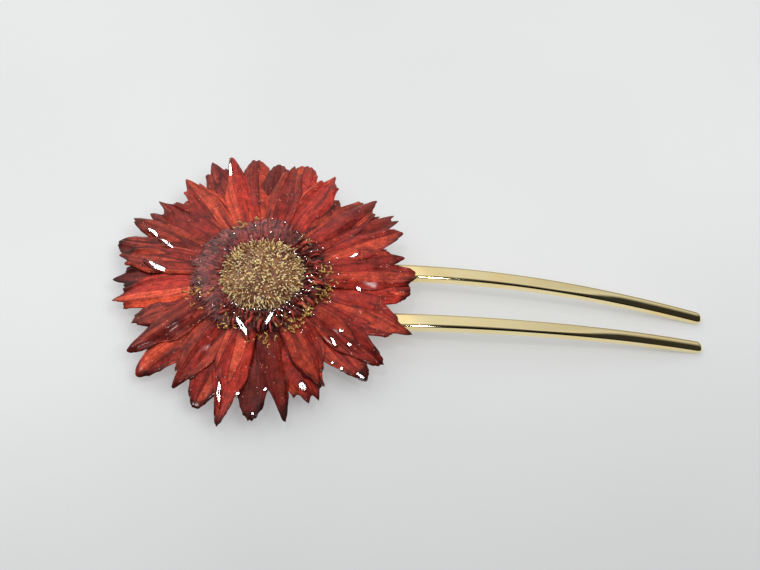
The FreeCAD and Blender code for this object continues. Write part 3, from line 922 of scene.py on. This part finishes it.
def anther_shape(rng, ground):
    """Gold and orange clumps between the ring florets, thickest towards the front right."""
    shape = Shape()
    for angle, radius, count in ANTHERS:
        for _ in range(count):
            turn = radians(angle + rng.gauss(0, 5.5))
            start = polar(radius + rng.gauss(0, 0.9), turn)
            start.z = ground(start.x, start.y) + rng.uniform(0.0, 0.3)
            heading = rng.uniform(0, tau)
            ahead = polar(1, heading, rng.uniform(-0.1, 0.5))
            bow = Vector((-ahead.y, ahead.x, 0)) * rng.uniform(-0.4, 0.4)
            length = rng.uniform(0.6, 1.5)
            shares = (0, 0.25, 0.5, 0.75, 1)
            route = [start + ahead * length * t + bow * sin(pi * t) for t in shares]
            thick = rng.uniform(0.1, 0.18)
            radii = [thick, thick, thick, thick * 1.2, thick * 1.1]
            tube(shape, route, radii, (rng.uniform(0.2, 1.0), rng.random(), 0.0), 6)
    return shape


def film_point(turn, share):
    """A point on the top of the resin collar, from the disc (share 0) to its outer edge (1)."""
    milky_sheen = milky_sheen_side(turn)
    outer = FILM_END + FILM_MILKY * milky_sheen + 2.0 * round_wave(turn, 3, 3) + 0.9 * round_wave(turn, 12, 4)
    point = polar(FILM_START + (outer - FILM_START) * share, turn)
    inside, petals_z = SHOULDER_Z + 0.35, LAYER_Z[3] + 0.3 + flower_z(point.x, point.y)
    trough = -0.35 * (1 - milky_sheen) * sin(pi * min(share * 1.6, 1.0))
    swell = 0.95 * milky_sheen * sin(pi * share) ** 0.7
    lumps = 0.22 * wave(point.x * 0.9, point.y * 0.9, 5) + 0.12 * wave(point.x * 2.4, point.y * 2.4, 8)
    streaks = 0.14 * round_wave(turn, 14, 2) * share
    point.z = inside + (petals_z - inside) * smooth(share * 1.3) - 1.1 * smooth((share - 0.7) / 0.3)
    point.z += (trough + swell + lumps + streaks) * sin(pi * min(share + 0.06, 1.0))
    return point


def film_shape():
    """The collar of resin around the disc, from the shoulder down onto the petals."""
    shape = Shape()
    rings = []
    shares = [band / FILM_BANDS for band in range(FILM_BANDS + 1)]
    levels = [(share, 0.0) for share in shares] + [(share, 0.5) for share in shares[-2:0:-1]]
    for share, depth in levels:
        ring = []
        for i in range(FILM_AROUND):
            turn = tau * i / FILM_AROUND
            point = film_point(turn, share)
            point.z -= depth * sin(pi * share)
            ring.append(shape.add(point, (i / FILM_AROUND, share), (milky_sheen_side(turn), 0.0, 0.0)))
        rings.append(ring)
    shape.bridge(rings + rings[:1], flip=True)
    return shape


def surface_z(x, y):
    """Roughly the height of the uppermost petals, or of the ring close to the disc."""
    radius = hypot(x, y)
    return LAYER_Z[3] + 0.35 + (flower_z(x, y) if radius > WALL_RADIUS else 0.0)


def pool_height(ground, middle, ahead, length):
    """Just above the highest ground along the middle of a pool."""
    spots = [middle + ahead * length * share for share in POOL_SPOTS]
    return max(ground(spot.x, spot.y) for spot in spots) + POOL_LIFT


def sparkle_pools(rng):
    """Very small pools: most of them in the ring at the front right, the rest all around."""
    sparkles = []
    for _ in range(RING_SPARKLES):
        angle = rng.gauss(-45, 48)
        size = rng.uniform(0.32, 0.6)
        radius, length, heading = rng.uniform(9.4, 12.8), size * rng.uniform(1.0, 1.3), rng.uniform(0, 180)
        sparkles.append((angle, radius, length, size, heading))
    for _ in range(PETAL_SPARKLES):
        size = rng.uniform(0.26, 0.46)
        sparkles.append((rng.uniform(0, 360), rng.uniform(8.5, 18.5), size, size, 0))
    return sparkles


def pool_shape(rng, ground):
    """Resin that has pooled: flat-topped drops, each tilted so that it catches the lamp."""
    shape = Shape()
    eye = camera_place()
    for number, (angle, radius, length, width, heading) in enumerate(POOLS + sparkle_pools(rng)):
        middle = polar(radius, radians(angle))
        ahead = polar(1, radians(heading))
        middle.z = pool_height(ground, middle, ahead, length)
        up = ((eye - middle * MM).normalized() + (LAMP_PLACE - middle * MM).normalized()).normalized()
        aside = Vector((-ahead.y, ahead.x, 0))
        rings = []
        for row in range(1, POOL_ROWS + 1):
            share = row / POOL_ROWS
            ring = []
            for i in range(POOL_AROUND):
                turn = tau * i / POOL_AROUND
                wobble = 1 + 0.22 * round_wave(turn, 1.6, number + 3)
                along = cos(turn) * share * wobble * length / 2
                across = sin(turn) * share * wobble * width / 2
                across += 0.5 * width * wave(along * 0.45, 5.0, number + 2)
                flat = ahead * along + aside * across
                flat.z = -(up.x * flat.x + up.y * flat.y) / up.z
                flat.z -= along ** 2 / (2 * POOL_LONG_RADIUS) + across ** 2 / (2 * POOL_CROSS_RADIUS)
                flat.z -= 0.25 * smooth((share - 0.8) / 0.2)
                ring.append(shape.add(middle + flat, (i / POOL_AROUND, share)))
            rings.append(ring)
        below = [shape.add(shape.points[i] - rise(0.3 + 0.3 * width)) for i in rings[-1]]
        shape.cap(rings[0], middle)
        shape.bridge(rings + [below], flip=True)
        shape.cap(below, middle - rise(0.4 + 0.3 * width), reverse=True)
    return shape


def bubble_shape(rng, ground):
    """Small resin drops: many in the ring and some on the disc."""
    shape = Shape()
    for _ in range(RING_DROPS):
        turn = rng.uniform(0, tau)
        radius = rng.uniform(10.2, 16.6)
        size = 0.09 + 0.24 * rng.random() ** 2 * (1 - 0.4 * milky_sheen_side(turn))
        centre = polar(radius, turn)
        centre.z = ground(centre.x, centre.y) + rng.uniform(-0.3, 0.6) * size
        bead(shape, centre, size, size * 0.9, (rng.random() ** 2, 0, 0))
    for _ in range(DISC_DROPS):
        turn, radius = rng.uniform(0, tau), 9.0 * sqrt(rng.random())
        size = rng.uniform(0.14, 0.3)
        bead(shape, polar(radius, turn, dome_z(radius) + rng.uniform(0.5, 0.8)), size, size, (0.3, 0, 0))
    return shape


def build_florets(rng, petals):
    film = film_shape()
    inner_ring, outer_ring = ring_shape(rng, True), ring_shape(rng, False)
    ground = height_finder(petals + [film])
    crown = height_finder(petals + [film, inner_ring, outer_ring])
    gold = floret_material("disc_floret", (0.27, 0.075, 0.03), (0.95, 0.64, 0.23),
                           (1.0, 0.92, 0.54), 1.0, 0.42)
    wine = floret_material("ring_floret", (0.09, 0.01, 0.008), (0.58, 0.075, 0.05),
                           (0.7, 0.42, 0.15), 1.0, 0.35)
    amber = floret_material("anther", (0.3, 0.1, 0.02), (0.62, 0.38, 0.1),
                            (0.85, 0.6, 0.22), 0.8, 0.4)
    disc_shape(rng).flower_piece("disc_hooks", gold, "disc_floret", "disc_florets")
    fringe_shape(rng).flower_piece("fringe_hooks", gold, "disc_floret")
    inner_ring.flower_piece("ring_hooks_inner", wine, "ring_floret", "ring_florets_inner")
    outer_ring.flower_piece("ring_hooks_outer", wine, "ring_floret", "ring_florets_outer")
    anther_shape(rng, ground).flower_piece("anther_clumps", amber, "anther", "anthers")
    film.flower_piece("ring_film", film_material(), "clear_resin")
    pool_shape(rng, crown).flower_piece("resin_pools", clear_material(), "clear_resin")
    bubble_shape(rng, ground).flower_piece("resin_drops", bead_material(), "clear_resin")


# ---- resin pad, bracts and receptacle ----

def pad_shape():
    """The resin lump under the flower: a flat foot and an uneven rounded side."""
    profile = [(0.35, 0.0), (0.55, 0.0), (0.645, 0.0), (0.7, 0.05), (0.78, 0.14), (0.86, 0.25),
               (0.93, 0.38), (0.975, 0.52), (0.99, 0.68), (0.98, 0.84), (0.93, 0.95), (0.8, 1.0)]
    shape = Shape()
    around = 120
    rings = []
    for share, height in profile:
        ring = []
        for i in range(around):
            turn = tau * i / around
            lump = 1 - 0.05 * abs(round_wave(turn, 2.2, 6, height)) * min(height * 8, 1)
            point = polar(PAD_RADIUS * share * lump, turn, PAD_TOP_Z * height)
            ring.append(shape.add(point, (i / around, height)))
        rings.append(ring)
    shape.bridge(rings)
    shape.cap(rings[0], rise(0), reverse=True)
    shape.cap(rings[-1], rise(PAD_TOP_Z))
    return shape


def bract_shape():
    """The pointed green scales under the petals, each with a midrib."""
    shape = Shape()
    rows, columns = 14, 8
    start = WALL_RADIUS - 1.2
    for place in range(BRACT_PLACES):
        if place in BRACTS_MISSING:
            continue
        turn = tau * place / BRACT_PLACES
        grid = {}
        for row in range(rows + 1):
            along = row / rows
            swell = sin(pi * (0.32 + 0.68 * along)) if row < rows else 0.0
            half = BRACT_WIDTH / 2 * swell ** 0.75 if row < rows else 0.02
            for column in range(columns + 1):
                across = 2 * column / columns - 1
                rim = row in (0, rows) or column in (0, columns)
                curve = 0.3 * (1 - across ** 2) - 0.2 * exp(-(across * 5) ** 2)
                radius = start + BRACT_LENGTH * along
                z = BRACT_ROOT_Z - tan(BRACT_DROOP) * (radius - WALL_RADIUS) - 0.1
                z += 0.12 * wave(along * 3, across, place + 1)
                lift = 0.0 if rim else 0.16 + curve * 0.5
                local = polar(radius, turn, z) + polar(across * half, turn + pi / 2)
                uv = (across / 2 + 0.5, along)
                top = shape.add(local + rise(lift), uv)
                under = top if rim else shape.add(local - rise(0.12), uv)
                grid[row, column] = (top, under)
        shape.shell(grid, rows, columns)
    return shape


def build_base():
    pad_shape().flower_piece("pad_skin", pad_material(), "clear_resin", "resin_pad")
    green = fibre_material("bract", (0.055, 0.045, 0.018), (0.13, 0.1, 0.035), 0.6)
    bract_shape().flower_piece("bract_scales", green, "bract", "bracts")
    brown = fibre_material("receptacle", (0.12, 0.036, 0.02), (0.34, 0.16, 0.07), 0.7)
    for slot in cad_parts["receptacle"].material_slots:
        slot.material = brown


# ---- surroundings ----

FLOOR = 3.0                  # half the side of the floor, in metres


def build_floor():
    corners = [(-FLOOR, -FLOOR, 0), (FLOOR, -FLOOR, 0), (FLOOR, FLOOR, 0), (-FLOOR, FLOOR, 0)]
    mesh = bpy.data.meshes.new("floor")
    mesh.from_pydata(corners, [], [(0, 1, 2, 3)])
    mesh.materials.append(floor_material())
    floor = bpy.data.objects.new("floor", mesh)
    link(floor)


def view_direction():
    yaw, tilt = radians(CAMERA_YAW), radians(CAMERA_ELEVATION)
    return Vector((sin(yaw) * cos(tilt), cos(yaw) * cos(tilt), -sin(tilt)))


def camera_place():
    return CAMERA_TARGET - view_direction() * CAMERA_DISTANCE


def build_camera():
    ahead = view_direction()
    yaw, roll = radians(CAMERA_YAW), radians(CAMERA_ROLL)
    level = Vector((cos(yaw), -sin(yaw), 0))
    upright = level.cross(ahead)
    right = level * cos(roll) + upright * sin(roll)
    up = upright * cos(roll) - level * sin(roll)
    data = bpy.data.cameras.new("camera")
    data.lens = CAMERA_LENS
    data.sensor_width = 36.0
    data.clip_start, data.clip_end = 0.01, 10.0
    camera = bpy.data.objects.new("camera", data)
    turn = Matrix((right, up, -ahead)).transposed().to_4x4()
    camera.matrix_world = Matrix.Translation(camera_place()) @ turn
    link(camera)
    bpy.context.scene.camera = camera


def build_world():
    """A pale room: bright beyond the object, dimmer to the right and dark behind the camera."""
    world = bpy.data.worlds.new("room")
    world.use_nodes = True
    tree = world.node_tree
    tree.nodes.clear()
    direction = node(tree, "TexCoord").outputs["Generated"]
    x, y, z = parts_of(tree, direction)
    # the bright side starts beyond the object, and further away towards the right
    past = calc(tree, "SUBTRACT", y, ease(tree, x, 0.17, 0.38, 0.06, 0.5))
    far = times(tree, ease(tree, past, 0.0, 0.14), ease(tree, past, 0.1, 0.4, 1.0, 0.8))
    # it dims to the right, towards the horizon and straight above
    far = times(tree, far, ease(tree, x, -0.1, 0.4, 1.0, 0.72))
    far = times(tree, far, ease(tree, z, 0.3, 0.6, 0.5, 1.0))
    far = times(tree, far, ease(tree, z, 0.93, 0.99, 1.0, 0.4))
    left = times(tree, ease(tree, x, -0.22, -0.1, 0.4, 0.0), ease(tree, y, -0.35, -0.1))
    # nearly nothing shines from around the camera
    dot = node(tree, "VectorMath", {0: direction, 1: -view_direction()}, operation="DOT_PRODUCT")
    near = ease(tree, dot.outputs["Value"], 0.8, 0.93, 1.0, 0.05)
    light = calc(tree, "ADD", times(tree, far, 0.88), calc(tree, "ADD", 0.03, left))
    light = times(tree, light, near)
    background = node(tree, "Background", {"Color": (1.0, 0.99, 0.97), "Strength": light})
    out = node(tree, "OutputWorld")
    tree.links.new(background.outputs[0], out.inputs[0])
    bpy.context.scene.world = world


def panel(name, place, size, radiance, mirrored=True):
    """A rectangular lamp that faces the flower; a fill lamp isn't mirrored in gloss."""
    data = bpy.data.lights.new(name, "AREA")
    data.shape = "RECTANGLE"
    data.size, data.size_y = size
    data.energy = radiance * pi * size[0] * size[1]
    lamp = bpy.data.objects.new(name, data)
    lamp.visible_glossy = mirrored
    lamp.location = place
    lamp.rotation_mode = "QUATERNION"
    lamp.rotation_quaternion = (LAMP_AIM - Vector(place)).to_track_quat("-Z", "Y")
    link(lamp)


def build_lights():
    panel("ceiling_panel", LAMP_PLACE, (0.05, 0.06), 95.0)
    panel("window_fill", (0.75, -0.2, 1.35), (1.0, 1.0), 3.6, mirrored=False)
    panel("sky_fill", (0.0, 0.0, 1.3), (3.0, 3.0), 0.49, mirrored=False)
    bpy.context.scene.view_settings.view_transform = "Standard"


build_camera()
build_world()
build_lights()
build_floor()
build_fork(gold_material())
petal_shapes = build_petals(petal_material())
build_florets(random.Random(11), petal_shapes)
build_base()
